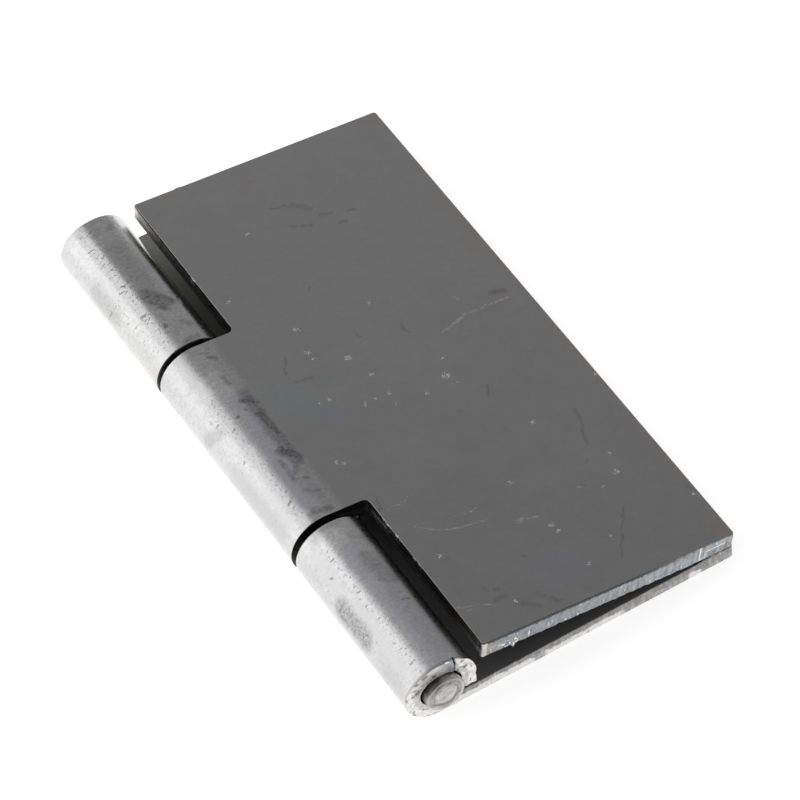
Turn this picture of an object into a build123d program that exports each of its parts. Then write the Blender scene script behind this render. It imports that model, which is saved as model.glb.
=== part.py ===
from build123d import *
from math import asin, atan2, cos, hypot, radians, sin
import os

# Butt hinge for welding, in millimetres. Each leaf is one strip of sheet steel with its own
# knuckles rolled from it, and a fixed pin runs through all three knuckles.
# The hinge lies closed on its base leaf. The origin is the middle of the base leaf's underside,
# +Y runs along the pin and +X from the pin to the free edges.

# Pin
pin_diameter = 5.0
pin_stand_out = 1.15  # past the end face of each end knuckle
pin_rim_radius = 0.45  # rounding of the pin's end rims
pin_clearance = 0.05  # all round, between the pin and the rolled bore

# Sheet
sheet_thickness = 1.9
leaf_reach = 39.4  # pin axis to free edge
leaf_corner_radius = 0.45

# Knuckles and the gaps between them, from the near end to the far end
near_knuckle_length = 24.2
near_gap = 0.9
centre_knuckle_length = 30.6
far_gap = 0.7
far_knuckle_length = 23.6
top_leaf_trim = 0.25  # the top leaf's far end stops short of the base leaf's

# Roll
roll_slack = 0.4  # the roll is this much wider than it is high
roll_overturn = 6.0  # degrees that the tip leans back in under the roll
roll_tip_gap = 0.5  # tip of the roll to the leaf's own face

# Notches
notch_clearance = 0.3  # the sweep of a roll to the edge of the notch that it turns in
notch_corner_radius = 0.7
notch_mouth_radius = 0.7  # outer corners, where a notch meets the end of the leaf

# Closed pose
closing_gap = 0.15  # between the leaves at their free edges

pin_radius = pin_diameter / 2
bore_radius = pin_radius + pin_clearance
middle_radius = bore_radius + sheet_thickness / 2
knuckle_radius = bore_radius + sheet_thickness
cut_reach = 2 * knuckle_radius  # clears a knuckle on every side

# The tip's outer corner comes lowest, and it sweeps the widest circle about the pin axis.
overturn = radians(roll_overturn)
roll_tip_length = (bore_radius - roll_tip_gap - knuckle_radius * sin(overturn)) / cos(overturn)
tip_corner_x = roll_slack / 2 + knuckle_radius * cos(overturn) - roll_tip_length * sin(overturn)
tip_corner_drop = bore_radius - roll_tip_gap
roll_sweep = max(knuckle_radius + roll_slack / 2, hypot(tip_corner_x, tip_corner_drop))
notch_reach = roll_sweep + notch_clearance

leaf_length = near_knuckle_length + near_gap + centre_knuckle_length + far_gap + far_knuckle_length
near_end = -leaf_length / 2
far_end = leaf_length / 2
base_notch_start = near_end + near_knuckle_length
base_notch_end = far_end - far_knuckle_length
centre_start = base_notch_start + near_gap
centre_end = base_notch_end - far_gap

# The top leaf closes past parallel, until the free edges are closing_gap apart:
# leaf_reach * sin(a) - bore_radius * cos(a) = bore_radius - closing_gap
closed_angle = asin((bore_radius - closing_gap) / hypot(leaf_reach, bore_radius)) + atan2(
    bore_radius, leaf_reach
)
base_direction = (1, 0, 0)
base_normal = (0, 0, 1)
top_direction = (cos(closed_angle), 0, -sin(closed_angle))
top_normal = (sin(closed_angle), 0, cos(closed_angle))

# Section planes: X runs out along the leaf, and the leaf lies below the origin, the pin axis.
axis_x = -leaf_reach / 2
axis_z = knuckle_radius
base_section = Plane(origin=(axis_x, far_end, axis_z), x_dir=base_direction, z_dir=(0, -1, 0))
top_section = Plane(origin=(axis_x, near_end, axis_z), x_dir=top_direction, z_dir=(0, 1, 0))

# Plan planes: X runs out along the leaf and Y along the pin.
base_plan = Plane(origin=(axis_x, 0, axis_z), x_dir=base_direction, z_dir=base_normal)
top_plan = Plane(origin=(axis_x, 0, axis_z), x_dir=top_direction, z_dir=top_normal)


def rolled_strip(section_plane):
    """Section of a leaf: a flat strip that rolls under the pin, over it and down to its tip."""
    with BuildSketch(section_plane) as section:
        with BuildLine() as middle_line:
            Line((leaf_reach, -middle_radius), (-roll_slack / 2, -middle_radius))
            half_turn = CenterArc((-roll_slack / 2, 0), middle_radius, 270, -180)
            Line(half_turn @ 1, (roll_slack / 2, middle_radius))
            last_turn = CenterArc((roll_slack / 2, 0), middle_radius, 90, -90 - roll_overturn)
            PolarLine(last_turn @ 1, roll_tip_length, direction=last_turn % 1)
        trace(middle_line.line, line_width=sheet_thickness)
    return section.sketch


def notch(plan_plane, start, end):
    """Plan of a notch that clears a knuckle between two places along the pin."""
    with BuildSketch(plan_plane) as outline:
        with Locations((notch_reach, start)):
            Rectangle(notch_reach + cut_reach, end - start, align=(Align.MAX, Align.MIN))
    return outline.sketch


os.makedirs("parts", exist_ok=True)

with BuildPart() as base_leaf:
    extrude(rolled_strip(base_section), amount=leaf_length)
    centre_notch = notch(base_plan, base_notch_start, base_notch_end)
    extrude(centre_notch, amount=cut_reach, both=True, mode=Mode.SUBTRACT)
    upright = base_leaf.edges().filter_by(Axis((0, 0, 0), base_normal))
    notch_corners, free_corners = upright.group_by(Axis((0, 0, 0), base_direction))[-2:]
    fillet(free_corners, leaf_corner_radius)
    fillet(notch_corners, notch_corner_radius)
base_leaf.part.label = "base_leaf"
export_step(base_leaf.part, "parts/base_leaf.step")

with BuildPart() as top_leaf:
    extrude(rolled_strip(top_section), amount=leaf_length - top_leaf_trim)
    near_notch = notch(top_plan, near_end - cut_reach, centre_start)
    far_notch = notch(top_plan, centre_end, far_end + cut_reach)
    extrude(near_notch + far_notch, amount=cut_reach, both=True, mode=Mode.SUBTRACT)
    upright = top_leaf.edges().filter_by(Axis((0, 0, 0), top_normal))
    notch_edges, free_corners = upright.group_by(Axis((0, 0, 0), top_direction))[-2:]
    near_mouth, near_corner, far_corner, far_mouth = notch_edges.sort_by(Axis.Y)
    fillet(free_corners, leaf_corner_radius)
    fillet([near_corner, far_corner], notch_corner_radius)
    fillet([near_mouth, far_mouth], notch_mouth_radius)
top_leaf.part.label = "top_leaf"
export_step(top_leaf.part, "parts/top_leaf.step")

with BuildPart() as hinge_pin:
    with BuildSketch(Plane(origin=(axis_x, near_end - pin_stand_out, axis_z), z_dir=(0, 1, 0))):
        Circle(pin_radius)
    extrude(amount=leaf_length + 2 * pin_stand_out)
    fillet(hinge_pin.edges().filter_by(GeomType.CIRCLE), pin_rim_radius)
hinge_pin.part.label = "hinge_pin"
export_step(hinge_pin.part, "parts/hinge_pin.step")
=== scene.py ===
"""Looks of a weld-on butt hinge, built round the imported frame.

Lengths are in metres, but for wear, marks and shaders, which are in millimetres.
"""

from math import asin, atan2, cos, hypot, pi, radians, sin

import bpy
from mathutils import Matrix, Vector, noise
from mathutils.geometry import delaunay_2d_cdt


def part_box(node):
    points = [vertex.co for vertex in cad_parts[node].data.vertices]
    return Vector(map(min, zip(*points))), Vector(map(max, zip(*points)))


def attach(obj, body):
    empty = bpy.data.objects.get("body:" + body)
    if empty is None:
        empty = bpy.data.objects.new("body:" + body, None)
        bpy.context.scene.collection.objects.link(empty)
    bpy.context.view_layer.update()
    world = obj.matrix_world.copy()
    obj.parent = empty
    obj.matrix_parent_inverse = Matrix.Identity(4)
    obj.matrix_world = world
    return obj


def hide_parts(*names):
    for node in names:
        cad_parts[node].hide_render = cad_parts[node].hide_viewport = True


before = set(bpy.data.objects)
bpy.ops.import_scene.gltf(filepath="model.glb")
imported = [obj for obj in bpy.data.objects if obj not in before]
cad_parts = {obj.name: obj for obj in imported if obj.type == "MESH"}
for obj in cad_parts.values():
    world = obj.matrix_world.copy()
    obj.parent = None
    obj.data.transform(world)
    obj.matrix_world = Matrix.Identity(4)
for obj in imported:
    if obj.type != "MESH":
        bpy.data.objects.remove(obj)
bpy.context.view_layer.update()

MM = 0.001

# Sheet and roll, as in the solids
SHEET = 1.9 * MM
BORE_RADIUS = 2.55 * MM
ROLL_SLACK = 0.4 * MM
OVERTURN = radians(6)
TIP_GAP = 0.5 * MM
FREE_CORNER = 0.45 * MM
NOTCH_CORNER = 0.7 * MM
MOUTH_CORNER = 0.35 * MM  # sharper than in the solids, as in the photo
TIP_CORNER = 0.3 * MM  # worn round, where the solids are square
CLOSING_GAP = 0.15 * MM
NOTCH_CLEARANCE = 0.3 * MM

# Knuckles and the gaps between them, from the near end
NEAR_KNUCKLE = 24.2 * MM
NEAR_GAP = 0.9 * MM
FAR_GAP = 0.7 * MM
FAR_KNUCKLE = 23.6 * MM

base_low, base_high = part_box("base_leaf")
top_far_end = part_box("top_leaf")[1].y
pin_low, pin_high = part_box("hinge_pin")
pin_axis = Vector(((pin_low.x + pin_high.x) / 2, 0, (pin_low.z + pin_high.z) / 2))
near_end, far_end = base_low.y, base_high.y
half_length = -near_end / MM
leaf_reach = base_high.x - pin_axis.x
middle_radius = BORE_RADIUS + SHEET / 2
knuckle_radius = BORE_RADIUS + SHEET

base_notch = (near_end + NEAR_KNUCKLE, far_end - FAR_KNUCKLE)
centre_knuckle = (base_notch[0] + NEAR_GAP, base_notch[1] - FAR_GAP)

# The tip's outer corner comes lowest, and a notch clears the circle that it sweeps.
tip_drop = BORE_RADIUS - TIP_GAP
tip_length = (tip_drop - knuckle_radius * sin(OVERTURN)) / cos(OVERTURN)
tip_corner = ROLL_SLACK / 2 + knuckle_radius * cos(OVERTURN) - tip_length * sin(OVERTURN)
notch_reach = hypot(tip_corner, tip_drop) + NOTCH_CLEARANCE

# Developed lengths: x runs out from the start of the roll, so the roll lies at x below 0.
free_edge = leaf_reach + ROLL_SLACK / 2
notch_edge = notch_reach + ROLL_SLACK / 2
half_turn_end = -pi * middle_radius
last_turn_start = half_turn_end - ROLL_SLACK
last_turn_end = last_turn_start - (pi / 2 + OVERTURN) * middle_radius
roll_tip = last_turn_end - tip_length
closed_angle = asin((BORE_RADIUS - CLOSING_GAP) / hypot(leaf_reach, BORE_RADIUS)) + atan2(
    BORE_RADIUS, leaf_reach
)


class Socket:
    """An output socket whose arithmetic adds Math nodes to its tree."""

    def __init__(self, tree, socket):
        self.tree = tree
        self.socket = socket

    def __add__(self, other):
        return self.tree.math("ADD", self, other)

    def __sub__(self, other):
        return self.tree.math("SUBTRACT", self, other)

    def __rsub__(self, other):
        return self.tree.math("SUBTRACT", other, self)

    def __mul__(self, other):
        return self.tree.math("MULTIPLY", self, other)

    def __truediv__(self, other):
        return self.tree.math("DIVIDE", self, other)

    __radd__ = __add__
    __rmul__ = __mul__


class Tree:
    """Adds nodes to a node tree."""

    def __init__(self, node_tree):
        self.tree = node_tree

    def add(self, kind, settings=None, inputs=None, output=0):
        """Adds a node: its settings first, then its inputs. Returns one of its outputs."""
        node = self.tree.nodes.new(kind)
        for name, value in (settings or {}).items():
            setattr(node, name, value)
        for name, value in (inputs or {}).items():
            socket = self.find(node.inputs, name)
            if isinstance(value, Socket):
                self.tree.links.new(value.socket, socket)
            elif value is not None:
                socket.default_value = value
        if len(node.outputs) == 0:
            return node
        return Socket(self, self.find(node.outputs, output))

    @staticmethod
    def find(sockets, name):
        """A socket by its place among those in use, its identifier or its name."""
        if isinstance(name, int):
            return [s for s in sockets if s.enabled][name]
        for socket in sockets:
            if socket.identifier == name:
                return socket
        return sockets[name]

    def math(self, operation, a, b=None):
        return self.add("ShaderNodeMath", {"operation": operation}, {"Value": a, "Value_001": b})

    def vector_math(self, operation, a, b=None, scale=None, output=0):
        values = {"Vector": a, "Vector_001": b, "Scale": scale}
        return self.add("ShaderNodeVectorMath", {"operation": operation}, values, output)

    def clamp(self, value, low, high):
        return self.math("MINIMUM", self.math("MAXIMUM", value, low), high)

    def step(self, value, low, high):
        """0 below low, 1 above high and smooth between. low may be the larger."""
        settings = {"interpolation_type": "SMOOTHSTEP"}
        values = {"Value": value, "From Min": low, "From Max": high, "To Min": 0.0, "To Max": 1.0}
        return self.add("ShaderNodeMapRange", settings, values)

    def band(self, value, middle, reach, core):
        """1 within core of the middle, 0 past reach and smooth between."""
        return self.step(self.math("ABSOLUTE", value - middle), reach, core)

    def mix_colour(self, factor, a, b):
        values = {"Factor_Float": factor, "A_Color": a, "B_Color": b}
        return self.add("ShaderNodeMix", {"data_type": "RGBA"}, values, "Result_Color")

    def mix(self, factor, a, b):
        return self.add("ShaderNodeMix", {}, {"Factor_Float": factor, "A_Float": a, "B_Float": b})

    def noise(self, vector, scale, detail=2.0, rough=0.5, distortion=0.0, output=0):
        values = {
            "Vector": vector,
            "Scale": scale,
            "Detail": detail,
            "Roughness": rough,
            "Distortion": distortion,
        }
        return self.add("ShaderNodeTexNoise", {}, values, output)


def grey(value):
    return (value, value, value, 1.0)


# Geometry Nodes: a flat blank is bent round the pin by the rule that the solids follow.
def bend_group():
    """Bends what lies past a place on the strip by an angle, up and over."""
    group = bpy.data.node_groups.new("bend", "GeometryNodeTree")
    sockets = group.interface
    sockets.new_socket("Geometry", in_out="INPUT", socket_type="NodeSocketGeometry")
    for name in ("Start", "Angle", "Radius"):
        sockets.new_socket(name, in_out="INPUT", socket_type="NodeSocketFloat")
    sockets.new_socket("Geometry", in_out="OUTPUT", socket_type="NodeSocketGeometry")
    tree = Tree(group)
    given = group.nodes.new("NodeGroupInput")
    start, angle, radius = (Socket(tree, given.outputs[n]) for n in ("Start", "Angle", "Radius"))
    sheet = tree.add(
        "GeometryNodeInputNamedAttribute", {"data_type": "FLOAT_VECTOR"}, {"Name": "sheet"}
    )
    along = tree.add("ShaderNodeSeparateXYZ", {}, {"Vector": sheet}, "X")
    turned = tree.clamp((start - along * MM) / radius, 0.0, angle)
    back = tree.add("ShaderNodeCombineXYZ", {}, {"X": turned * radius})
    centre = tree.add("ShaderNodeCombineXYZ", {}, {"X": start, "Z": radius})
    position = tree.vector_math("ADD", tree.add("GeometryNodeInputPosition"), back)
    bent = tree.add(
        "ShaderNodeVectorRotate",
        {"rotation_type": "Y_AXIS"},
        {"Vector": position, "Center": centre, "Angle": turned},
    )
    moved = tree.add(
        "GeometryNodeSetPosition",
        {},
        {"Geometry": Socket(tree, given.outputs["Geometry"]), "Position": bent},
    )
    tree.add("NodeGroupOutput", {}, {"Geometry": moved})
    return group


def roll_tree(bend):
    """Rolls a blank's knuckles, then turns and tilts the leaf about the pin."""
    group = bpy.data.node_groups.new("roll_leaf", "GeometryNodeTree")
    sockets = group.interface
    sockets.new_socket("Geometry", in_out="INPUT", socket_type="NodeSocketGeometry")
    for name in ("Middle Radius", "Slack", "Overturn", "Turned Over", "Tilt"):
        sockets.new_socket(name, in_out="INPUT", socket_type="NodeSocketFloat")
    sockets.new_socket("Pin Axis", in_out="INPUT", socket_type="NodeSocketVector")
    sockets.new_socket("Material", in_out="INPUT", socket_type="NodeSocketMaterial")
    sockets.new_socket("Geometry", in_out="OUTPUT", socket_type="NodeSocketGeometry")
    tree = Tree(group)
    given = group.nodes.new("NodeGroupInput")
    asked = {socket.name: Socket(tree, socket) for socket in given.outputs if socket.name}
    radius, slack = asked["Middle Radius"], asked["Slack"]
    half_end = radius * -pi
    last_turn = tree.add(
        "GeometryNodeGroup",
        {"node_tree": bend},
        {
            "Geometry": asked["Geometry"],
            "Start": half_end - slack,
            "Angle": asked["Overturn"] + pi / 2,
            "Radius": radius,
        },
    )
    half_turn = tree.add(
        "GeometryNodeGroup",
        {"node_tree": bend},
        {"Geometry": last_turn, "Start": 0.0, "Angle": pi, "Radius": radius},
    )
    under_pin = tree.add("ShaderNodeCombineXYZ", {}, {"X": slack * -0.5, "Z": radius * -1.0})
    centred = tree.add(
        "GeometryNodeTransform", {}, {"Geometry": half_turn, "Translation": under_pin}
    )
    angles = tree.add(
        "ShaderNodeCombineXYZ", {}, {"X": asked["Turned Over"], "Y": asked["Tilt"]}
    )
    turned = tree.add(
        "GeometryNodeTransform",
        {},
        {
            "Geometry": centred,
            "Translation": asked["Pin Axis"],
            "Rotation": tree.add("FunctionNodeEulerToRotation", {}, {"Euler": angles}),
        },
    )
    real = tree.add("GeometryNodeRealizeInstances", {}, {"Geometry": turned})
    finished = tree.add(
        "GeometryNodeSetMaterial", {}, {"Geometry": real, "Material": asked["Material"]}
    )
    tree.add("NodeGroupOutput", {}, {"Geometry": finished})
    return group


# Mesh code: the stamped blanks
EDGE_STEP = 0.15 * MM
FACE_STEP = 0.8 * MM
ROLL_STEP = 0.25 * MM
RIM_MARGIN = 0.6 * MM  # the face's own points keep this far from the rim
SHARP_ANGLE = radians(50)
roll_area_end = notch_edge + 1.2 * MM

# How a sheared edge steps in from the outline across the sheet, from the outer side's die roll
# to the inner side's burr: (inset, depth, share of the roughness), in millimetres.
EDGE_PROFILE = (
    (0.26, -0.950, 0.0),
    (0.19, -0.950, 0.0),
    (0.10, -0.945, 0.0),
    (0.04, -0.920, 0.1),
    (0.01, -0.870, 0.2),
    (0.00, -0.700, 0.3),
    (0.00, -0.450, 0.3),
    (0.00, -0.200, 0.5),
    (0.02, 0.000, 1.0),
    (0.04, 0.220, 1.0),
    (0.05, 0.440, 1.0),
    (0.05, 0.660, 1.0),
    (0.04, 0.840, 1.0),
    (0.02, 0.965, 0.8),
    (0.08, 0.965, 0.3),
    (0.14, 0.950, 0.0),
    (0.21, 0.950, 0.0),
)
EDGE_ROUGHNESS = 0.04 * MM
FACE_WAVE = 0.006 * MM


def outline(corners):
    """Samples a closed outline of square corners (x, y, radius), with the inward directions."""
    samples = []
    count = len(corners)
    for i, (x, y, radius) in enumerate(corners):
        here = Vector((x, y))
        before = Vector(corners[i - 1][:2])
        after_x, after_y, after_radius = corners[(i + 1) % count]
        after = Vector((after_x, after_y))
        way_in = (here - before).normalized()
        way_out = (after - here).normalized()
        turn = 1 if way_in.cross(way_out) > 0 else -1
        arc_start = here - way_in * radius
        centre = arc_start + way_in.orthogonal() * radius * turn
        steps = max(2, round(radius * pi / 2 / EDGE_STEP)) if radius else 0
        for k in range(steps):
            rotation = Matrix.Rotation(turn * pi / 2 * k / steps, 2)
            direction = rotation @ way_in
            samples.append((centre + rotation @ (arc_start - centre), direction.orthogonal()))
        run_start = here + way_out * radius
        run_end = after - way_out * after_radius
        steps = max(1, round((run_end - run_start).length / EDGE_STEP))
        for k in range(steps):
            samples.append((run_start.lerp(run_end, k / steps), way_out.orthogonal()))
    return samples


def spaced(low, high, step):
    """Even places strictly between two ends."""
    count = max(1, round((high - low) / step))
    return [low + (high - low) * k / count for k in range(1, count)]


def make_blank(name, corners, areas, wear):
    """A flat stamped blank: faces over its areas and sheared edges round its outline.

    wear(x, y, depth, rough) gives how far a point of the edge is set back and pushed across.
    It works in millimetres.
    """
    samples = outline(corners)
    places, edge_values = [], []
    rings = []
    for inset, depth, rough in EDGE_PROFILE:
        ring = []
        for point, inward in samples:
            seat = Vector((point.x, point.y, depth * MM)) / MM
            bump = noise.noise(seat * 1.7) + 0.6 * noise.noise(seat * 5.1)
            set_back, pushed = wear(seat.x, seat.y, depth, rough)
            place = point + inward * ((inset + set_back) * MM + bump * rough * EDGE_ROUGHNESS)
            ring.append(len(places))
            places.append((place.x, place.y, (depth + pushed) * MM))
            edge_values.append(1.0 if rough > 0 else 0.0)
        rings.append(ring)
    faces = []
    count = len(samples)
    for lower, upper in zip(rings, rings[1:]):
        for k in range(count):
            after = (k + 1) % count
            faces.append((lower[after], lower[k], upper[k], upper[after]))
    for ring, depth in ((rings[0], -SHEET / 2), (rings[-1], SHEET / 2)):
        add_face(places, edge_values, faces, ring, areas, depth)
    mesh = bpy.data.meshes.new(name)
    mesh.from_pydata(places, [], faces)
    sheet = mesh.attributes.new("sheet", "FLOAT_VECTOR", "POINT")
    sheet.data.foreach_set("vector", [v / MM for place in places for v in place])
    edge = mesh.attributes.new("edge", "FLOAT", "POINT")
    edge.data.foreach_set("value", edge_values)
    piece = bpy.data.objects.new(name, mesh)
    bpy.context.scene.collection.objects.link(piece)
    return piece


def add_face(places, edge_values, faces, ring, areas, depth):
    """Fills one side of the blank inside its edge ring, with points spread over its areas."""
    points = [Vector(places[k][:2]) for k in ring]
    known = list(ring)
    for low_x, high_x, low_y, high_y, step_x in areas:
        for x in spaced(low_x, high_x, step_x):
            for y in spaced(low_y, high_y, FACE_STEP):
                wave = noise.noise(Vector((x * 0.25, y * 0.12, depth)) / MM) * FACE_WAVE
                points.append(Vector((x, y)))
                known.append(len(places))
                places.append((x, y, depth + wave))
                edge_values.append(0.0)
    count = len(ring)
    rim = [(k, (k + 1) % count) for k in range(count)]
    keep_inside, weld = 1, 1e-9
    result = delaunay_2d_cdt(points, rim, [], keep_inside, weld)
    triangles, sources = result[2:4]
    origin = [ids[0] for ids in sources]
    for triangle in triangles:
        corners = [known[origin[k]] for k in triangle]
        faces.append(tuple(reversed(corners)) if depth < 0 else tuple(corners))


def roll_leaf(blank, tree, turned_over, tilt, material):
    """Runs the blank through the roll tree and returns the finished leaf."""
    modifier = blank.modifiers.new("roll", "NODES")
    modifier.node_group = tree
    given = {
        "Middle Radius": middle_radius,
        "Slack": ROLL_SLACK,
        "Overturn": OVERTURN,
        "Turned Over": turned_over,
        "Tilt": tilt,
        "Pin Axis": pin_axis,
        "Material": material,
    }
    for item in tree.interface.items_tree:
        if item.in_out == "INPUT" and item.name in given:
            modifier[item.identifier] = given[item.name]
    evaluated = blank.evaluated_get(bpy.context.evaluated_depsgraph_get())
    mesh = bpy.data.meshes.new_from_object(evaluated)
    mesh.name = blank.name
    blank.modifiers.remove(modifier)
    blank.data = mesh
    mesh.shade_smooth()
    mesh.set_sharp_from_angle(angle=SHARP_ANGLE)
    return blank


# Places on the blanks, in millimetres from the start of the roll
CRACK = -13.2
CRACK_LEAN = 0.56  # the crack runs upright through the bent sheet, so it leans in the blank
NEAR_NIB = 9.6
FAR_NIB = 11.5

SHORT_EDGE = 0.5  # wear on a leaf's short edges stays this close to its ends


def hump(value, middle, half_width):
    """1 at the middle, 0 past the half width and smooth between."""
    away = min(1.0, abs(value - middle) / half_width)
    return (1 - away * away) ** 2


def ramp(value, low, high):
    """0 at low, 1 at high and smooth between."""
    share = min(1.0, max(0.0, (value - low) / (high - low)))
    return share * share * (3 - 2 * share)


def burr(x, depth, rough, least):
    """How far the burr on the inner rim stands out. It fills the gap where the leaves close."""
    half_gap = (CLOSING_GAP / MM + max(0.0, free_edge / MM - x) * sin(closed_angle)) / 2
    wanted = max(least, 0.3 * ramp(x, 34.0, 37.0))
    ragged = 0.9 + 0.4 * noise.noise(Vector((x * 1.3, 2.0, 0.0)))
    return min(wanted * ragged, half_gap - 0.02) * ramp(depth, 0.7, 0.96) * rough


def base_wear(x, y, depth, rough):
    """The near roll stands out askew, and past a crack its end is torn."""
    if y > SHORT_EDGE - half_length:
        return 0.0, 0.0
    past_crack = x + depth * CRACK_LEAN - CRACK
    set_back = 0.35 * hump(past_crack, 0.0, 0.22) - 0.28 * ramp(x, -4.0, -11.0)
    if past_crack < 0:
        lumps = noise.noise(Vector((x * 0.9, 4.0, depth * 1.1)))
        grains = noise.noise(Vector((x * 2.6, 9.0, depth * 2.6)))
        set_back += 0.10 + 0.16 * lumps + 0.10 * grains
    raised = burr(x, depth, rough, 0.0) if x > 0 else 0.0
    return set_back, raised


def top_wear(x, y, depth, rough):
    """Burrs on the top leaf's two short edges. The near one lies at high y in this blank."""
    if y > half_length - SHORT_EDGE:
        nib = hump(x, NEAR_NIB, 0.35) * ramp(depth, -0.7, -0.2)
        hanging = 0.3 * hump(x, NEAR_NIB, 0.3) * ramp(depth, 0.7, 0.96) * rough
        return -0.16 * nib, hanging + burr(x, depth, rough, 0.5)
    if y < SHORT_EDGE - top_far_end / MM:
        return -0.22 * hump(x, FAR_NIB, 0.6) * ramp(depth, -0.96, -0.8), 0.0
    return 0.0, 0.0


def flat_area(low_y, high_y):
    """The flat part of a leaf, as (low x, high x, low y, high y, step along x)."""
    high_x = free_edge - RIM_MARGIN
    return (roll_area_end, high_x, low_y + RIM_MARGIN, high_y - RIM_MARGIN, FACE_STEP)


def roll_area(low_y, high_y):
    """The part that is rolled, from its tip to past the notches."""
    low_x = roll_tip + RIM_MARGIN
    return (low_x, roll_area_end, low_y + RIM_MARGIN, high_y - RIM_MARGIN, ROLL_STEP)


def make_base_leaf(tree, material):
    start, end = base_notch
    corners = [
        (roll_tip, near_end, TIP_CORNER),
        (free_edge, near_end, FREE_CORNER),
        (free_edge, far_end, FREE_CORNER),
        (roll_tip, far_end, TIP_CORNER),
        (roll_tip, end, TIP_CORNER),
        (notch_edge, end, NOTCH_CORNER),
        (notch_edge, start, NOTCH_CORNER),
        (roll_tip, start, TIP_CORNER),
    ]
    areas = [flat_area(near_end, far_end), roll_area(near_end, start), roll_area(end, far_end)]
    blank = make_blank("base_leaf_steel_sheet", corners, areas, base_wear)
    return roll_leaf(blank, tree, 0.0, 0.0, material)


def make_top_leaf(tree, material):
    # The tree turns this blank over about X, so its y runs from the far end.
    start, end = -centre_knuckle[1], -centre_knuckle[0]
    low_y, high_y = -top_far_end, -near_end
    corners = [
        (roll_tip, start, TIP_CORNER),
        (notch_edge, start, NOTCH_CORNER),
        (notch_edge, low_y, MOUTH_CORNER),
        (free_edge, low_y, FREE_CORNER),
        (free_edge, high_y, FREE_CORNER),
        (notch_edge, high_y, MOUTH_CORNER),
        (notch_edge, end, NOTCH_CORNER),
        (roll_tip, end, TIP_CORNER),
    ]
    areas = [flat_area(low_y, high_y), roll_area(start, end)]
    blank = make_blank("top_leaf_steel_sheet", corners, areas, top_wear)
    return roll_leaf(blank, tree, pi, closed_angle, material)


# The pin's end from its middle out: (distance from the axis, distance in from the end), in
# millimetres. A ring is turned into it and its rim is rounded.
PIN_PROFILE = (
    (0.0, 0.05), (0.4, 0.05), (0.8, 0.055), (1.2, 0.06), (1.5, 0.075), (1.68, 0.11),
    (1.82, 0.15), (1.95, 0.15), (2.06, 0.09), (2.16, 0.03), (2.26, 0.0), (2.36, 0.01),
    (2.43, 0.05), (2.48, 0.12), (2.5, 0.24), (2.5, 0.45),
)
PIN_SIDES = 96


def make_pin(material):
    """The pin as a lathed shape."""
    radius = (pin_high.z - pin_low.z) / 2
    scale = radius / PIN_PROFILE[-1][0]
    near = [(r * scale, pin_low.y + inset * MM) for r, inset in PIN_PROFILE]
    far = [(r, pin_high.y + pin_low.y - y) for r, y in reversed(near)]
    shank = [(radius, pin_low.y + 2 * MM), (radius, pin_high.y - 2 * MM)]
    rings = near[1:] + shank + far[:-1]
    places, faces = [], []
    for r, y in rings:
        for k in range(PIN_SIDES):
            angle = 2 * pi * k / PIN_SIDES
            places.append((pin_axis.x + r * cos(angle), y, pin_axis.z + r * sin(angle)))
    last = (len(rings) - 1) * PIN_SIDES
    for a in range(0, last, PIN_SIDES):
        b = a + PIN_SIDES
        for k in range(PIN_SIDES):
            after = (k + 1) % PIN_SIDES
            faces.append((a + k, a + after, b + after, b + k))
    for y, first, order in ((near[0][1], 0, -1), (far[-1][1], last, 1)):
        middle = len(places)
        places.append((pin_axis.x, y, pin_axis.z))
        for k in range(PIN_SIDES):
            rim = (first + k, first + (k + 1) % PIN_SIDES)
            faces.append((middle, *rim[::order]))
    mesh = bpy.data.meshes.new("hinge_pin_rod")
    mesh.from_pydata(places, [], faces)
    mesh.materials.append(material)
    mesh.shade_smooth()
    piece = bpy.data.objects.new("hinge_pin_rod", mesh)
    bpy.context.scene.collection.objects.link(piece)
    return piece


# Materials
def new_material(name):
    material = bpy.data.materials.new(name)
    material.use_nodes = True
    material.node_tree.nodes.clear()
    return material


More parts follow.
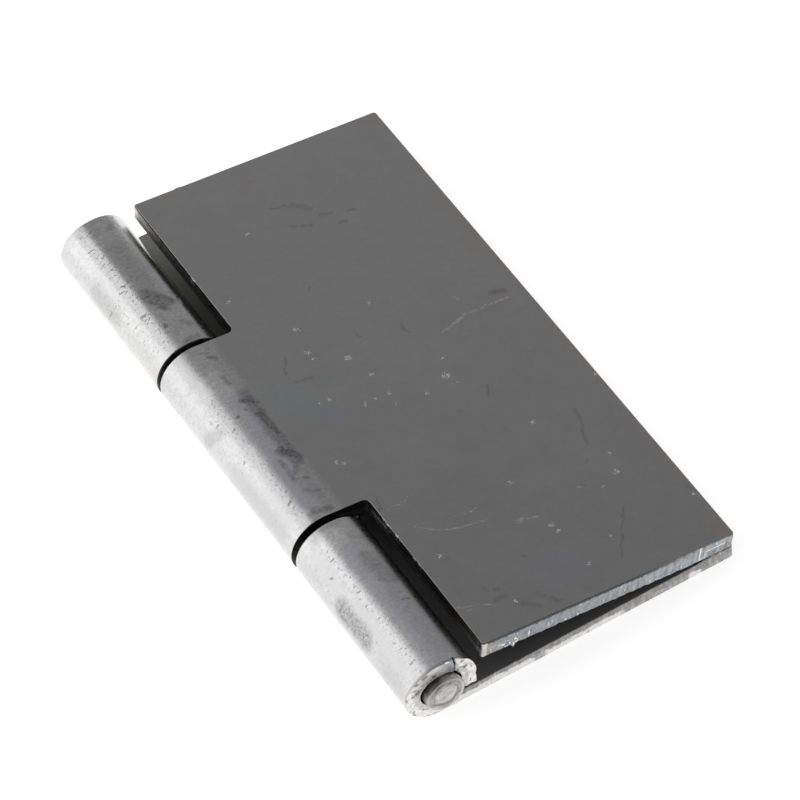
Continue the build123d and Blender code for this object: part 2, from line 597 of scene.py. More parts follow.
class Finish(Tree):
    """The shader of one leaf, with marks placed on the developed sheet, in millimetres.

    The top leaf's blank is turned over, so its y runs from the far end.
    """

    def __init__(self, node_tree, is_top):
        super().__init__(node_tree)
        self.is_top = is_top
        self.sheet = self.add("ShaderNodeAttribute", {"attribute_name": "sheet"}, {}, "Vector")
        self.x, self.y, self.depth = (
            self.add("ShaderNodeSeparateXYZ", {}, {"Vector": self.sheet}, axis) for axis in "XYZ"
        )
        self.edge = self.add("ShaderNodeAttribute", {"attribute_name": "edge"}, {}, "Fac")
        # Hand-made marks wander a little, so no scratch is ruled straight.
        drift = self.noise(self.sheet, 0.9, 2.0, output="Color")
        drift = self.vector_math("SUBTRACT", drift, (0.5, 0.5, 0.5))
        drift = self.vector_math("SCALE", drift, scale=0.9)
        wandering = self.vector_math("ADD", self.sheet, drift)
        self.flat = self.vector_math("MULTIPLY", wandering, (1, 1, 0))
        self.outer = self.step(self.depth, 0.2, -0.2)
        self.from_near_end = half_length + (self.y * -1.0 if is_top else self.y)
        # Unevenness of the steel, from slow clouds to fine grain
        self.cloud = self.noise(self.sheet, 0.07, 3.0, 0.55)
        self.patchy = self.noise(self.sheet, 0.6, 4.0, 0.65)
        self.grain = self.noise(self.sheet, 6.0, 3.0, 0.6)
        self.mottle = self.noise(self.sheet, 2.1, 4.0, 0.62)

    def place(self, where):
        """A place given by its distance from the near end, as the blank has it."""
        x, from_near = where
        y = half_length - from_near if self.is_top else from_near - half_length
        return (x, y, 0.0)

    def spot(self, middle, radius):
        """A round mark that fades from its middle out."""
        away = self.vector_math("DISTANCE", self.flat, self.place(middle), output="Value")
        return self.step(away, radius, radius * 0.05)

    def scratch(self, start, end, width, share=1.0):
        """A mark along a line between two places, which fades towards its width."""
        start, end = Vector(self.place(start)), Vector(self.place(end))
        run = end - start
        per_length = tuple(run / run.length_squared)
        ahead = self.vector_math("SUBTRACT", self.flat, tuple(start))
        along = self.vector_math("DOT_PRODUCT", ahead, per_length, output="Value")
        along = self.clamp(along, 0.0, 1.0)
        nearest = self.vector_math("SCALE", tuple(run), scale=along)
        away = self.vector_math("DISTANCE", ahead, nearest, output="Value")
        mark = self.step(away, width, width * 0.2)
        return mark if share == 1.0 else mark * share

    def chip(self, x, depth, radius):
        """A ragged dent in a sheared edge."""
        across = self.math("ABSOLUTE", self.x - x + (self.crumbs - 0.5) * 0.6)
        down = self.math("ABSOLUTE", self.depth - depth + (self.streaks - 0.5) * 0.6)
        away = self.math("MAXIMUM", across, down)
        return self.step(away, radius, radius / 3)

    def most(self, masks):
        """The strongest of some masks.

        A mask is joined in before the next is made, because a shader holds few values at once.
        """
        whole = None
        for mask in masks:
            whole = mask if whole is None else self.math("MAXIMUM", whole, mask)
        return whole

    def roll_tone(self):
        """The paler roll past a ragged border, worn along its crown, with painted shade towards its
        tip and, on the top leaf, where it runs out towards the leaf.
        """
        ragged = (self.noise(self.sheet, 1.2, 4.0, 0.7) - 0.5) * 1.6
        self.rolled = self.step(self.x + ragged, 2.9, 1.7)
        tone = 0.54 + (self.cloud - 0.5) * 0.08 + (self.mottle - 0.5) * 0.34
        tone = tone + (self.grain - 0.5) * 0.20
        self.mark_roll()
        if self.is_top:
            wear_and_shade = self.scratch((-0.4, 27.0), (-0.7, 50.0), 1.9) * 0.2
            # On the top leaf the roll is painted darker where it runs out towards the leaf, as shade.
            wear_and_shade = wear_and_shade - self.step(self.x, 0.0, 1.4) * 0.15
        else:
            wear_and_shade = self.scratch((-10.7, 1.0), (-10.5, 22.0), 2.2) * 0.42
        self.tip = self.step(self.x, -12.5, -13.3)
        # Towards its tip, but for near the far end, the roll is painted darker, as shade.
        painted_tip_shade = self.tip * self.step(self.from_near_end, 77.0, 70.0)
        return tone * (1.0 + wear_and_shade) * (1.0 - painted_tip_shade * 0.35)

    def mark_roll(self):
        """Pits, stains, smudges and digs on the roll."""
        if self.is_top:
            all_marks = TOP_STAINS, TOP_SMUDGES, TOP_SPECKLES, TOP_DIGS
        else:
            all_marks = BASE_STAINS, BASE_SMUDGES, BASE_SPECKLES, BASE_DIGS
        stains, smudges, speckled, digs = (
            self.most(self.scratch(*mark) for mark in marks) for marks in all_marks
        )
        self.speckle = self.noise(self.sheet, 3.0, 3.0, 0.6)
        self.pits = self.step(self.speckle, 0.70 - speckled * 0.12, 0.78 - speckled * 0.12)
        self.curdled = self.noise(self.sheet, 2.4, 4.0, 0.72, 0.3)
        clots = stains * (0.6 + self.step(self.curdled, 0.36, 0.62) * 0.7)
        smeared = 0.25 + self.step(self.mottle, 0.42, 0.58) * 0.6
        smears = smudges * (smeared + self.step(self.grain, 0.4, 0.6) * 0.5)
        film_and_wall_shade = self.step(self.noise(self.sheet, 0.35, 4.0, 0.62, 0.6), 0.52, 0.75) * 0.15
        strongest = self.most((self.pits * 0.36, clots, smears, digs * 0.6, film_and_wall_shade))
        self.stained = strongest * self.rolled

    def scuff(self, colour):
        """Draws the top leaf's scuffs, and finds its nicks and scratches, which are drawn last."""
        shards = self.noise(self.flat, 2.9, 4.0, 0.75, 0.8)
        clusters = self.most(self.spot(place, size * 1.2) for place, size in TOP_NICKS)
        nicks = self.step(shards + clusters * 0.26, 0.70, 0.82) * self.step(clusters, 0.02, 0.2)
        breaks = self.step(self.noise(self.sheet, 2.4, 2.0), 0.35, 0.62)
        lines = self.most(self.scratch(*line) for line in TOP_SCRATCHES)
        self.scored = self.math("MAXIMUM", nicks, lines * breaks * 0.36) * self.outer
        scuffs = self.most(self.scratch(*line) for line in TOP_SCUFFS)
        scuffs = scuffs * (0.35 + self.step(self.curdled, 0.35, 0.6) * 0.65)
        self.scuffs = scuffs * self.outer
        return self.mix_colour(self.scuffs * 0.38, colour, grey(0.15))

    def edge_colour(self):
        """Sheared edge: streaks across the sheet, a smooth band, a torn band and bright glints."""
        across = self.add(
            "ShaderNodeMapping",
            {"vector_type": "POINT"},
            {"Vector": self.sheet, "Scale": (1.0, 1.0, 0.25)},
        )
        self.streaks = self.noise(across, 1.8, 3.0, 0.6)
        self.crumbs = self.noise(self.sheet, 1.7, 4.0, 0.7)
        self.glints = self.step(self.noise(across, 2.6, 3.0, 0.65), 0.60, 0.68)
        self.specks = self.step(self.noise(self.sheet, 2.0, 3.0, 0.6), 0.58, 0.66)
        wander = (self.noise(across, 0.35, 4.0, 0.6) - 0.5) * 1.6
        # The smooth band is wider near the roll.
        tear = self.step(self.x, 12.5, 11.5) * 0.15
        self.torn = self.step(self.depth + wander - tear, -0.15, 0.15)
        self.varied = (self.streaks - 0.5) * 1.2 + (self.crumbs - 0.5) * 1.4
        rim, blue = self.top_rim() if self.is_top else self.base_rim()
        # The walls of the notches and of the gaps lie in their own dark, which is painted on as shade
        # that deepens away from the leaves' ends.
        self.from_end = self.math("MINIMUM", self.from_near_end, 2 * half_length - self.from_near_end)
        wall = self.step(self.x, notch_edge / MM + 0.4, notch_edge / MM + 0.2)
        film_and_wall_shade = self.step(self.from_end, 0.9, 1.5) * 0.42 + self.step(self.from_end, 1.5, 7.0) * 0.38
        rim = rim * (1.0 - wall * film_and_wall_shade)
        return self.add(
            "ShaderNodeCombineColor",
            {},
            {"Red": rim * (2.0 - blue), "Green": rim, "Blue": rim * blue},
        )

    def top_rim(self):
        """Dark under the face's rim, brighter towards the burr, where glints are painted, and towards
        the free edge.
        """
        x, depth = self.x, self.depth
        bare = 0.24 + self.torn * 0.06 + self.step(x, 14.0, 30.0) * 0.04
        rim = bare * (1.0 + self.varied) + self.glints * 0.34
        rounded = self.step(depth + (self.crumbs - 0.5) * 0.7, -0.38, -0.66)
        rim = self.mix(rounded * self.step(x, 36.5, 26.0), rim, 0.06)
        facet = self.step(depth + (self.crumbs - 0.5) * 0.3, -0.85, -0.7)
        facet = facet * self.step(x, 6.15, 6.05)
        rim = self.mix(facet, rim, 0.50 + (self.crumbs - 0.5) * 0.6)
        # Bright spots on the burrs by the nib are painted glints.
        burr_glints = self.step(self.noise(self.sheet, 2.2, 2.0), 0.52, 0.60) * self.step(depth, 0.1, 0.6)
        rim = self.mix(burr_glints * self.band(x, 9.0, 1.6, 0.8), rim, 0.85)
        # Two bright lines lie near the free corner.
        upright = self.band(x, 34.9, 0.14, 0.06)
        level = self.band(depth + (x - 37.0) * 0.05, 0.0, 0.12, 0.03)
        level = level * self.band(x, 37.0, 1.4, 1.2)
        rim = self.mix(self.math("MAXIMUM", upright, level) * 0.8, rim, 0.8)
        blue = 1.02 + self.step(self.noise(self.sheet, 0.5, 2.0), 0.42, 0.62) * 0.07
        blue = blue - self.step(x, 8.5, 6.5) * 0.09 - self.step(x, 36.0, 38.5) * 0.05
        return rim, blue

    def base_rim(self):
        """A smooth band, pale but for a grey patch and the stretch past x 24, and the roll's end."""
        x = self.x
        past = self.step(x + (self.streaks - 0.5) * 1.5, 24.0, 25.0)
        patch = self.band(x, 13.2, 0.9, 0.6) * 0.8
        island = self.band(x, 34.3, 1.0, 0.7)
        greyed = self.clamp(past + patch - island, 0.0, 1.0)
        smooth = 0.60 + (self.crumbs - 0.5) * 0.35 - self.specks * 0.22
        bare = 0.30 * (1.0 + self.varied) + self.glints * 0.22 - self.specks * 0.08
        smooth = self.mix(greyed, smooth, bare)
        inner_rim = self.step(self.depth + (self.crumbs - 0.5) * 0.3, 0.68, 0.86)
        bare = bare * (1.0 - inner_rim * 0.4)
        self.rolled_end = self.step(x, -0.2, -1.5)
        end, facet = self.knuckle_end()
        rim = self.mix(self.rolled_end, self.mix(self.torn, smooth, bare), end)
        return rim, 0.985 + facet * self.rolled_end * 0.05

    def knuckle_end(self):
        """The bright, chipped end of a knuckle, with a crack, a clean facet beside it and a painted
        glint on the facet.
        """
        x, depth, crumbs = self.x, self.depth, self.crumbs
        end = 0.74 + (crumbs - 0.5) * 0.8 - self.specks * 0.40
        from_crack = x + depth * CRACK_LEAN - CRACK + (crumbs - 0.5) * 0.25
        facet = self.step(from_crack, 0.0, 0.1) * self.step(from_crack, 1.9, 0.9)
        # The crown of the end is duller than its flank.
        crown = self.step(x, -7.0, -9.0) * self.step(from_crack, 0.0, 0.3)
        end = end * (1.0 - crown * self.step(crumbs, 0.35, 0.65) * 0.3)
        end = self.mix(facet, end, 0.38 + (crumbs - 0.5) * 0.3)
        # A bright line on the facet beside the crack is a painted glint.
        nib = self.band(from_crack, 0.75, 0.3, 0.15)
        end = self.mix(nib * self.step(depth, -0.65, -0.85), end, 1.0)
        crack = self.band(from_crack, 0.0, 0.17, 0.08)
        chipped = self.most(self.chip(*mark) for mark in END_MARKS)
        # At the far knuckle the outer rim is dark.
        far_rim = self.step(self.from_near_end, 70.0, 71.0) * self.step(depth, -0.55, -0.80)
        end = end * (1.0 - chipped * 0.55) * (1.0 - far_rim * 0.7)
        return end * (1.0 - crack * 0.95), facet

    def surface(self):
        """Roughness and normal of the face, the roll and the sheared edge."""
        # The roll is rougher from the centre knuckle on, towards the near end.
        rough = 0.22 + self.step(self.from_near_end, 62.0, 54.0) * 0.08
        rough = rough + (self.mottle - 0.5) * 0.36 + self.stained * 0.2
        rough = self.mix(self.rolled, 0.27 + (self.patchy - 0.5) * 0.05, rough)
        height = self.mottle * 0.014 + self.speckle * 0.012 + self.grain * 0.0015
        height = (height - self.pits * 0.015) * (1.0 - self.tip * 0.75)
        height = self.mix(self.rolled, self.grain * 0.0006, height)
        edge_rough = self.torn * 0.2
        if self.is_top:
            rough = rough + self.scuffs * 0.15
            height = height - self.scored * 0.01
            edge_rough = 0.36 + edge_rough
        else:
            edge_rough = 0.38 + edge_rough + self.rolled_end * 0.2
        rough = self.mix(self.edge, rough, edge_rough)
        height = self.mix(self.edge, height, self.streaks * 0.03 + self.crumbs * 0.05)
        bump = {"Strength": 1.0, "Distance": MM, "Height": height}
        return rough, self.add("ShaderNodeBump", {}, bump, "Normal")


# Marks as (middle, radius) or (start, end, width, share), where the share may be left out. A place
# is the distance from the start of the roll and from the near end, in millimetres.
TOP_NICKS = (
    ((11.9, 52.3), 0.8), ((11.3, 48.3), 0.9), ((11.4, 47.2), 0.5), ((15.1, 45.4), 0.8),
    ((9.7, 40.6), 0.5), ((8.3, 40.5), 0.4), ((16.1, 41.7), 0.5), ((16.4, 38.1), 0.5),
    ((12.9, 37.9), 0.6), ((14.4, 38.0), 0.5), ((16.2, 36.2), 0.3), ((24.9, 39.8), 0.5),
    ((23.6, 37.3), 1.0), ((24.0, 35.9), 0.5), ((20.2, 35.9), 0.5), ((22.0, 51.9), 0.5),
    ((28.5, 25.9), 0.8), ((32.9, 14.7), 0.9), ((33.8, 17.6), 0.4), ((30.4, 13.5), 0.4),
    ((27.8, 14.6), 0.4), ((21.9, 11.4), 0.7), ((22.0, 10.3), 0.6), ((21.1, 19.2), 0.6),
    ((8.3, 13.5), 0.7), ((22.4, 4.4), 0.4), ((26.9, 6.7), 0.6), ((24.9, 6.5), 0.3),
    ((12.1, 3.7), 0.5), ((15.1, 68.9), 0.5), ((7.2, 59.9), 0.5), ((5.4, 31.7), 0.5),
    ((5.9, 31.0), 0.5), ((38.9, 7.4), 0.6), ((39.2, 29.0), 0.5), ((14.9, 17.6), 0.3),
)
TOP_SCRATCHES = (
    ((6.3, 22.3), (10.4, 23.1), 0.15), ((8.0, 18.8), (9.9, 17.0), 0.14),
    ((9.9, 17.0), (12.4, 16.1), 0.18), ((12.4, 16.1), (15.8, 15.7), 0.14),
    ((12.2, 17.9), (15.8, 17.6), 0.10), ((27.0, 43.5), (31.0, 44.7), 0.3),
    ((31.0, 44.7), (37.0, 44.6), 0.26), ((5.6, 6.0), (9.7, 4.6), 0.14),
    ((5.8, 4.9), (7.2, 5.0), 0.14), ((18.6, 13.8), (21.2, 13.4), 0.35),
    ((31.1, 48.4), (31.5, 47.3), 0.12), ((5.35, 22.0), (5.35, 17.0), 0.16, 1.8),
    ((5.35, 15.6), (5.35, 13.0), 0.12, 1.3), ((5.35, 65.8), (5.35, 65.1), 0.24, 2.4),
)
TOP_SCUFFS = (
    ((34.0, 25.3), (33.8, 23.9), 0.4), ((33.8, 23.9), (32.9, 21.7), 0.35),
    ((32.9, 21.7), (32.4, 20.3), 0.4), ((26.3, 3.4), (28.3, 6.4), 0.2),
    ((28.6, 7.0), (30.6, 9.6), 0.2), ((31.0, 18.0), (30.7, 17.4), 0.2),
    ((7.1, 46.5), (8.4, 48.7), 0.25), ((7.6, 44.9), (9.6, 44.6), 0.35),
    ((12.6, 3.0), (14.2, 1.7), 0.55), ((15.0, 3.2), (16.4, 1.4), 0.65),
    ((24.4, 67.5), (25.6, 67.0), 0.5), ((25.7, 65.2), (26.6, 64.8), 0.4),
    ((20.2, 67.4), (20.8, 67.1), 0.4), ((27.6, 66.6), (28.6, 66.3), 0.4),
    ((22.2, 70.4), (23.8, 69.0), 0.7), ((21.4, 66.8), (22.6, 66.4), 0.4),
    ((19.8, 71.2), (21.6, 70.6), 0.4), ((9.8, 7.0), (10.2, 6.8), 0.45),
    ((10.8, 6.3), (11.6, 5.9), 0.35), ((10.3, 4.9), (11.4, 4.8), 0.5),
    ((19.7, 76.5), (19.8, 76.5), 0.26), ((26.2, 32.2), (27.2, 33.6), 0.25),
    ((22.2, 31.9), (22.3, 31.5), 0.25), ((6.5, 24.6), (5.8, 22.8), 0.25),
    ((17.1, 57.4), (16.8, 57.0), 0.3), ((28.2, 14.8), (28.6, 14.5), 0.3),
    ((16.4, 9.1), (16.7, 8.7), 0.3), ((17.9, 48.1), (18.0, 47.6), 0.3),
    ((23.2, 46.6), (23.5, 45.4), 0.35), ((35.6, 46.2), (37.2, 45.8), 0.6),
    ((1.9, 33.5), (2.0, 38.5), 0.45), ((2.0, 39.5), (1.7, 45.5), 0.4),
    ((38.9, 8.8), (39.1, 8.4), 0.4),
)

# Dark mottled patches on the rolls as (start, end, width, share)
BASE_STAINS = (
    ((-10.7, 66.4), (-10.9, 65.2), 0.9, 0.55), ((-11.0, 66.0), (-12.5, 63.6), 1.2, 0.60),
    ((-10.9, 64.6), (-11.8, 62.8), 0.9, 0.55), ((-12.3, 59.9), (-12.9, 59.3), 0.7, 0.35),
    ((-11.6, 74.5), (-11.6, 67.0), 1.7, 0.22), ((-12.2, 17.6), (-12.7, 13.4), 1.3, 0.32),
    ((-11.7, 13.9), (-13.6, 13.6), 0.3, 0.30), ((-11.2, 56.8), (-12.6, 57.2), 0.6, 0.40),
    ((-12.4, 77.6), (-12.7, 78.4), 0.6, 0.25), ((-12.3, 2.0), (-12.3, 12.0), 1.5, 0.12),
)
TOP_STAINS = (
    ((1.6, 46.0), (1.4, 34.5), 1.6, 0.40), ((0.7, 45.3), (2.2, 44.4), 0.8, 0.62),
    ((1.3, 42.5), (1.8, 39.0), 1.0, 0.64), ((0.8, 36.2), (2.0, 34.6), 1.2, 0.70),
    ((1.2, 34.0), (0.4, 32.4), 0.7, 0.40), ((-0.3, 35.0), (-0.3, 31.4), 0.5, 0.38),
    ((-0.4, 31.7), (1.3, 31.1), 0.28, 0.50), ((0.0, 29.6), (1.2, 28.8), 0.5, 0.32),
    ((-0.6, 26.5), (0.8, 26.0), 0.9, 0.50), ((0.7, 53.2), (1.4, 52.7), 0.5, 0.45),
    ((0.0, 54.4), (0.9, 54.0), 0.4, 0.32), ((0.4, 49.8), (0.6, 48.5), 0.5, 0.38),
    ((0.4, 31.0), (0.8, 27.5), 1.3, 0.20),
)

# Pale grainy patches on the rolls as (start, end, width, share)
BASE_SMUDGES = (
    ((-7.0, 14.6), (-7.1, 9.0), 1.7, 0.54), ((-6.9, 71.5), (-7.0, 67.0), 2.0, 0.24),
    ((-8.4, 22.0), (-8.0, 2.0), 1.2, 0.10), ((-6.0, 4.0), (-6.4, 2.0), 2.0, 0.12),
)
TOP_SMUDGES = (
    ((-4.9, 44.6), (-3.3, 43.4), 1.3, 0.24), ((-5.0, 38.0), (-4.2, 28.0), 2.2, 0.12),
    ((-1.6, 47.0), (-1.5, 40.0), 0.9, 0.14), ((-1.2, 35.0), (-1.3, 28.0), 0.7, 0.14),
)

# Where fine pits gather on the rolls
BASE_SPECKLES = (
    ((-6.9, 8.2), (-6.8, 14.5), 2.2), ((-6.7, 66.0), (-7.1, 72.0), 1.7),
    ((-9.6, 0.5), (-9.5, 22.0), 1.1), ((-9.7, 57.5), (-9.9, 79.0), 1.2),
    ((-8.2, 58.0), (-7.8, 70.0), 1.1), ((-11.0, 61.5), (-11.2, 68.0), 1.5),
)
TOP_SPECKLES = (
    ((-3.0, 46.0), (-2.7, 42.0), 1.3), ((-3.9, 43.0), (-3.9, 42.0), 0.9),
    ((-3.6, 38.5), (-3.7, 36.5), 1.0), ((-1.6, 27.0), (-1.7, 48.0), 1.1),
    ((-0.6, 47.0), (-1.0, 40.0), 0.9), ((1.2, 47.0), (1.6, 53.0), 1.0),
)

# Short dark digs across the rolls
BASE_DIGS = (
    ((-9.0, 76.1), (-9.5, 76.0), 0.17), ((-9.3, 73.3), (-9.5, 73.2), 0.14),
    ((-9.1, 68.2), (-9.6, 68.1), 0.18), ((-9.6, 68.8), (-9.9, 68.7), 0.17),
    ((-9.2, 63.5), (-9.7, 63.4), 0.20), ((-9.3, 62.7), (-9.5, 62.7), 0.14),
    ((-6.2, 68.0), (-7.0, 67.8), 0.16), ((-10.5, 60.6), (-10.6, 60.2), 0.32),
    ((-9.2, 19.6), (-9.5, 19.6), 0.16), ((-9.2, 14.0), (-9.5, 14.0), 0.16),
    ((-9.2, 11.9), (-9.5, 11.8), 0.16), ((-8.0, 17.9), (-8.2, 17.8), 0.18),
    ((-9.2, 2.1), (-9.4, 2.1), 0.16), ((-12.3, 10.1), (-13.0, 9.9), 0.18),
)
TOP_DIGS = (
    ((-2.8, 44.3), (-3.0, 44.2), 0.20), ((-1.8, 42.3), (-2.1, 42.2), 0.18),
    ((-0.8, 43.5), (-0.9, 43.3), 0.22), ((0.2, 44.0), (0.4, 43.9), 0.20),
    ((-1.9, 29.5), (-2.2, 29.3), 0.26), ((-3.0, 38.0), (-3.2, 37.9), 0.15),
    ((3.8, 45.2), (3.9, 44.9), 0.30), ((4.6, 40.0), (5.2, 38.6), 0.36),
)

# Marks on the near end of the base leaf as (x, depth, radius)
END_MARKS = (
    (-7.4, 0.50, 0.40), (-6.9, 0.30, 0.50), (-6.5, -0.10, 0.35), (-3.7, -0.45, 0.22),
    (-3.3, -0.80, 0.30), (-0.7, -0.70, 0.28), (1.6, -0.85, 0.35), (-9.3, -0.55, 0.40),
    (-10.2, 0.35, 0.35), (-13.9, -0.60, 0.35), (-15.1, 0.10, 0.22), (-8.3, -0.70, 0.35),
)

# Faint colours of oil and heat as (start, end, width, colour, share)
BASE_TINTS = (
    ((-11.6, 1.0), (-11.3, 19.5), 1.9, (0.50, 0.48, 0.60, 1.0), 0.45),
    ((-6.4, 60.0), (-6.6, 68.0), 2.5, (0.56, 0.55, 0.50, 1.0), 0.25),
    ((-7.6, 56.45), (-6.2, 56.5), 0.9, (0.60, 0.54, 0.45, 1.0), 0.3),
    ((-7.8, 24.1), (-8.6, 24.1), 0.9, (0.60, 0.54, 0.45, 1.0), 0.3),
    ((6.1, 70.0), (6.2, 78.0), 2.5, (0.40, 0.41, 0.33, 1.0), 0.6),
)
TOP_TINTS = (
    ((5.2, 43.6), (6.8, 40.8), 3.0, (0.27, 0.44, 0.41, 1.0), 0.38),
    ((11.0, 43.6), (11.1, 43.5), 1.0, (0.28, 0.42, 0.40, 1.0), 0.30),
    ((7.9, 38.9), (9.0, 37.6), 1.6, (0.36, 0.34, 0.52, 1.0), 0.30),
    ((0.4, 45.4), (-0.5, 28.0), 2.0, (0.48, 0.46, 0.58, 1.0), 0.42),
    ((19.5, 5.0), (19.4, 6.2), 4.0, (0.36, 0.35, 0.46, 1.0), 0.30),
    ((19.3, 78.0), (19.0, 76.5), 2.2, (0.44, 0.34, 0.37, 1.0), 0.22),
    ((26.3, 71.8), (26.4, 71.7), 1.2, (0.44, 0.34, 0.37, 1.0), 0.22),
    ((39.7, 10.0), (39.7, 70.0), 1.4, (0.42, 0.35, 0.33, 1.0), 0.35),
    ((38.6, 62.0), (38.2, 54.0), 1.6, (0.40, 0.36, 0.34, 1.0), 0.30),
    ((38.8, 1.0), (39.4, 2.0), 2.0, (0.44, 0.35, 0.31, 1.0), 0.30),
    ((38.4, 78.6), (37.4, 79.0), 1.4, (0.44, 0.34, 0.32, 1.0), 0.30),
    ((36.3, 46.2), (36.4, 46.0), 1.2, (0.42, 0.31, 0.31, 1.0), 0.35),
    ((8.6, 79.4), (10.0, 79.2), 1.0, (0.44, 0.36, 0.31, 1.0), 0.30),
)

STAIN = (0.110, 0.110, 0.125, 1.0)
OLD_OIL = (0.355, 0.36, 0.325, 1.0)


def sheet_steel(name, is_top):
    """Cold-rolled sheet: a dark even face, a paler pitted roll and bright sheared edges."""
    material = new_material(name)
    steel = Finish(material.node_tree, is_top)
    face = 0.345 + steel.from_near_end * 0.0007 + (steel.cloud - 0.5) * 0.05
    face = face + (steel.patchy - 0.5) * 0.06 + (steel.mottle - 0.5) * 0.03
    roll = steel.roll_tone()
    tone = steel.mix(steel.rolled, face, roll)
    colour = steel.add("ShaderNodeCombineColor", {}, {"Red": tone, "Green": tone, "Blue": tone})
    for start, end, width, tint, share in TOP_TINTS if is_top else BASE_TINTS:
        covered = steel.scratch(start, end, width) * share
        colour = steel.mix_colour(covered * (0.5 + steel.patchy), colour, tint)
    colour = steel.mix_colour(steel.stained, colour, STAIN)
    if is_top:
        colour = steel.scuff(colour)
    rim = steel.edge_colour()
    if not is_top:
        # The outer rims of the end knuckles are thinly outlined in dark grey.
        outlined = steel.step(steel.from_end, 0.24, 0.08) * steel.rolled * steel.outer
        outlined = outlined * (0.1 + steel.crumbs * 0.5)
        colour = steel.mix_colour(outlined, colour, grey(0.12))
    colour = steel.mix_colour(steel.edge, colour, rim)
    if is_top:
        colour = steel.mix_colour(steel.scored * 0.8, colour, grey(0.95))
    rough, normal = steel.surface()
    # The faces that meet inside the closed hinge are dull with old oil.
    inside = steel.step(steel.depth, 0.2, 0.6) * (1.0 - steel.edge)
    oily = steel.mix_colour(steel.step(steel.from_near_end, 60.0, 74.0), grey(0.30), OLD_OIL)
    colour = steel.mix_colour(inside * steel.step(steel.x, 0.0, 3.0), colour, oily)
    shader = steel.add(
        "ShaderNodeBsdfPrincipled",
        {},
        {
            "Base Color": colour,
            "Metallic": 1.0 - inside * 0.35,
            "Roughness": rough + inside * 0.15,
            "Normal": normal,
        },
    )
    steel.add("ShaderNodeOutputMaterial", {}, {"Surface": shader})
    return material


def pin_steel():
    """Drawn rod: clean sides and turned ends with a swirl, with painted light and shade on both."""
    material = new_material("pin_steel_drawn")
    tree = Tree(material.node_tree)
    place = tree.add("ShaderNodeTexCoord", {}, {}, "Object")
    place = tree.vector_math("SUBTRACT", place, tuple(pin_axis))
    place = tree.vector_math("SCALE", place, scale=1 / MM)
    x, y, z = (tree.add("ShaderNodeSeparateXYZ", {}, {"Vector": place}, axis) for axis in "XYZ")
    from_axis = tree.math("SQRT", x * x + z * z)
    turn = tree.math("ARCTAN2", z, x) + from_axis * 1.3
    wound = tree.add(
        "ShaderNodeCombineXYZ",
        {},
        {"X": tree.math("COSINE", turn), "Y": from_axis * 2.2, "Z": tree.math("SINE", turn)},
    )
    swirl = tree.noise(wound, 1.6, 4.0, 0.65)
    clouds = tree.noise(place, 1.1, 3.0, 0.6)
    end = tree.step(from_axis, 2.46, 2.40)
    # The groove is painted darker, as shade in it.
    groove = tree.band(from_axis, 1.75, 0.45, 0.10)
    tone = 0.40 + (clouds - 0.5) * 0.3 + (swirl - 0.5) * 0.9 * end - groove * 0.16
    # The side gets painted shade where it leaves the knuckle and a painted shadow at its upper left,
    # and is painted lighter towards +x.
    out = tree.math("ABSOLUTE", y) - half_length
    side = 0.30 + (clouds - 0.5) * 0.2
    side = side * (0.45 + tree.step(out + (clouds - 0.5) * 0.6, 0.35, 0.75) * 0.5)
    painted_upper_left_shadow = tree.step(z * 0.8 - x * 0.6, 1.85, 2.35)
    side = side * (1.75 + x * 0.25) * (1.0 - painted_upper_left_shadow * 0.6)
    # The end is painted darker towards the top, as shade.
    tone = tone * (1.0 - tree.step(z, -0.2, 2.0) * 0.36)
    tone = tree.mix(end, side, tone)
    colour = tree.add(
        "ShaderNodeCombineColor", {}, {"Red": tone * 1.02, "Green": tone, "Blue": tone * 0.95}
    )
    violet = tree.step(tree.noise(place, 0.45, 2.0), 0.48, 0.65) * end * 0.4
    colour = tree.mix_colour(violet, colour, (0.40, 0.36, 0.38, 1.0))
    bump = {"Strength": 1.0, "Distance": MM, "Height": swirl * 0.05 * end}
    normal = tree.add("ShaderNodeBump", {}, bump, "Normal")
    shader = tree.add(
        "ShaderNodeBsdfPrincipled",
        {},
        {"Base Color": colour, "Metallic": 1.0, "Roughness": 0.33, "Normal": normal},
    )
    tree.add("ShaderNodeOutputMaterial", {}, {"Surface": shader})
    return material


# Studio
def make_floor():
    """A pale floor that shows white from above and in the steel, and keeps the hinge's shadow."""
    size = 4.0
    mesh = bpy.data.meshes.new("floor")
    corners = [(-size, -size, 0), (size, -size, 0), (size, size, 0), (-size, size, 0)]
    mesh.from_pydata(corners, [], [(0, 1, 2, 3)])
    floor = bpy.data.objects.new("floor", mesh)
    bpy.context.scene.collection.objects.link(floor)
    material = new_material("pale_floor")
    tree = Tree(material.node_tree)
    camera, glossy, transmission = (
        tree.add("ShaderNodeLightPath", {}, {}, ray)
        for ray in ("Is Camera Ray", "Is Glossy Ray", "Is Transmission Ray")
    )
    mirrored = tree.math("MAXIMUM", glossy, transmission)
    lit = tree.add("ShaderNodeBsdfDiffuse", {}, {"Color": grey(0.8)})
    strength = camera * 0.72 + mirrored
    glow = tree.add("ShaderNodeEmission", {}, {"Color": grey(1.0), "Strength": strength})
    both = tree.add("ShaderNodeAddShader", {}, {"Shader": lit, "Shader_001": glow})
    tree.add("ShaderNodeOutputMaterial", {}, {"Surface": both})
    mesh.materials.append(material)


def make_world():
    """Even light from all round."""
    world = bpy.data.worlds.new("studio")
    bpy.context.scene.world = world
    world.use_nodes = True
    world.node_tree.nodes.clear()
    tree = Tree(world.node_tree)
    sky = tree.add("ShaderNodeBackground", {}, {"Color": grey(0.36), "Strength": 1.0})
    tree.add("ShaderNodeOutputWorld", {}, {"Surface": sky})


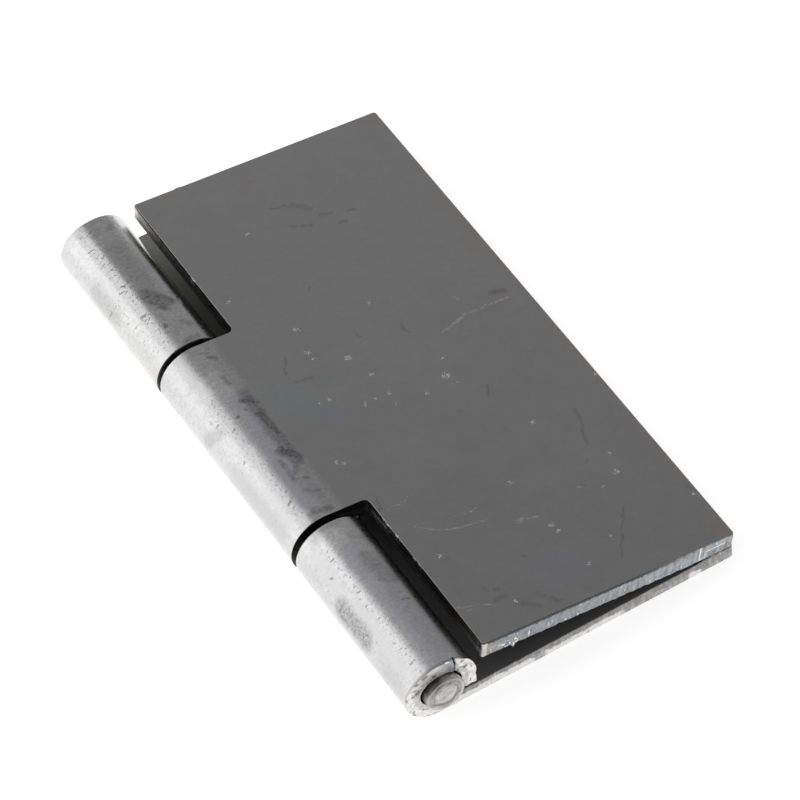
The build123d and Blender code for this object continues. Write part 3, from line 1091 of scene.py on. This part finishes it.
def add_lamp(name, azimuth, elevation, distance, width, height, radiance):
    """A softbox that faces the hinge. Its power gives the radiance that its reflection shows."""
    azimuth, elevation = radians(azimuth), radians(elevation)
    data = bpy.data.lights.new(name, "AREA")
    data.shape = "RECTANGLE"
    data.size = width
    data.size_y = height
    data.energy = radiance * pi * width * height
    lamp = bpy.data.objects.new(name, data)
    bpy.context.scene.collection.objects.link(lamp)
    towards = Vector(
        (cos(azimuth) * cos(elevation), sin(azimuth) * cos(elevation), sin(elevation))
    )
    lamp.location = towards * distance
    lamp.rotation_euler = towards.to_track_quat("Z", "Y").to_euler()


def make_camera():
    """The photo's camera, as fitted to the hinge's outline."""
    azimuth, elevation, roll = radians(-27.155), radians(50.486), radians(-5.508)
    distance = 0.591114
    target = Vector((-1.957, -2.180, 5.0)) * MM
    focal_pixels, image_side, sensor = 5034.7, 800, 36.0
    back = Vector(
        (sin(azimuth) * cos(elevation), -cos(azimuth) * cos(elevation), sin(elevation))
    )
    level = Vector((0, 0, 1)).cross(back).normalized()
    upright = back.cross(level)
    right = level * cos(roll) + upright * sin(roll)
    up = upright * cos(roll) - level * sin(roll)
    data = bpy.data.cameras.new("camera")
    data.sensor_width = sensor
    data.lens = focal_pixels * sensor / image_side
    data.clip_start = 0.01
    data.clip_end = 50
    camera = bpy.data.objects.new("camera", data)
    turn = Matrix((right, up, back)).transposed().to_4x4()
    camera.matrix_world = Matrix.Translation(target + back * distance) @ turn
    bpy.context.scene.collection.objects.link(camera)
    bpy.context.scene.camera = camera


roller = roll_tree(bend_group())
base_leaf = make_base_leaf(roller, sheet_steel("base_leaf_cold_rolled", is_top=False))
top_leaf = make_top_leaf(roller, sheet_steel("top_leaf_cold_rolled", is_top=True))
pin = make_pin(pin_steel())
for piece, node, body, slot in (
    (base_leaf, "base_leaf", "base", "base_leaf_steel"),
    (top_leaf, "top_leaf", "swing", "top_leaf_steel"),
    (pin, "hinge_pin", "base", "pin_steel"),
):
    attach(piece, body)
    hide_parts(node)

make_floor()
make_world()
for lamp in (
    # name, azimuth and elevation in degrees, distance, width, height, radiance
    ("left_softbox", 150, 17, 1.0, 1.6, 0.6, 1.25),
    ("upper_left_softbox", 140, 45, 1.0, 1.0, 0.38, 0.92),
    ("right_softbox", 45, 6, 1.2, 2.0, 0.4, 0.2),
):
    add_lamp(*lamp)
make_camera()
bpy.context.scene.view_settings.view_transform = "Standard"
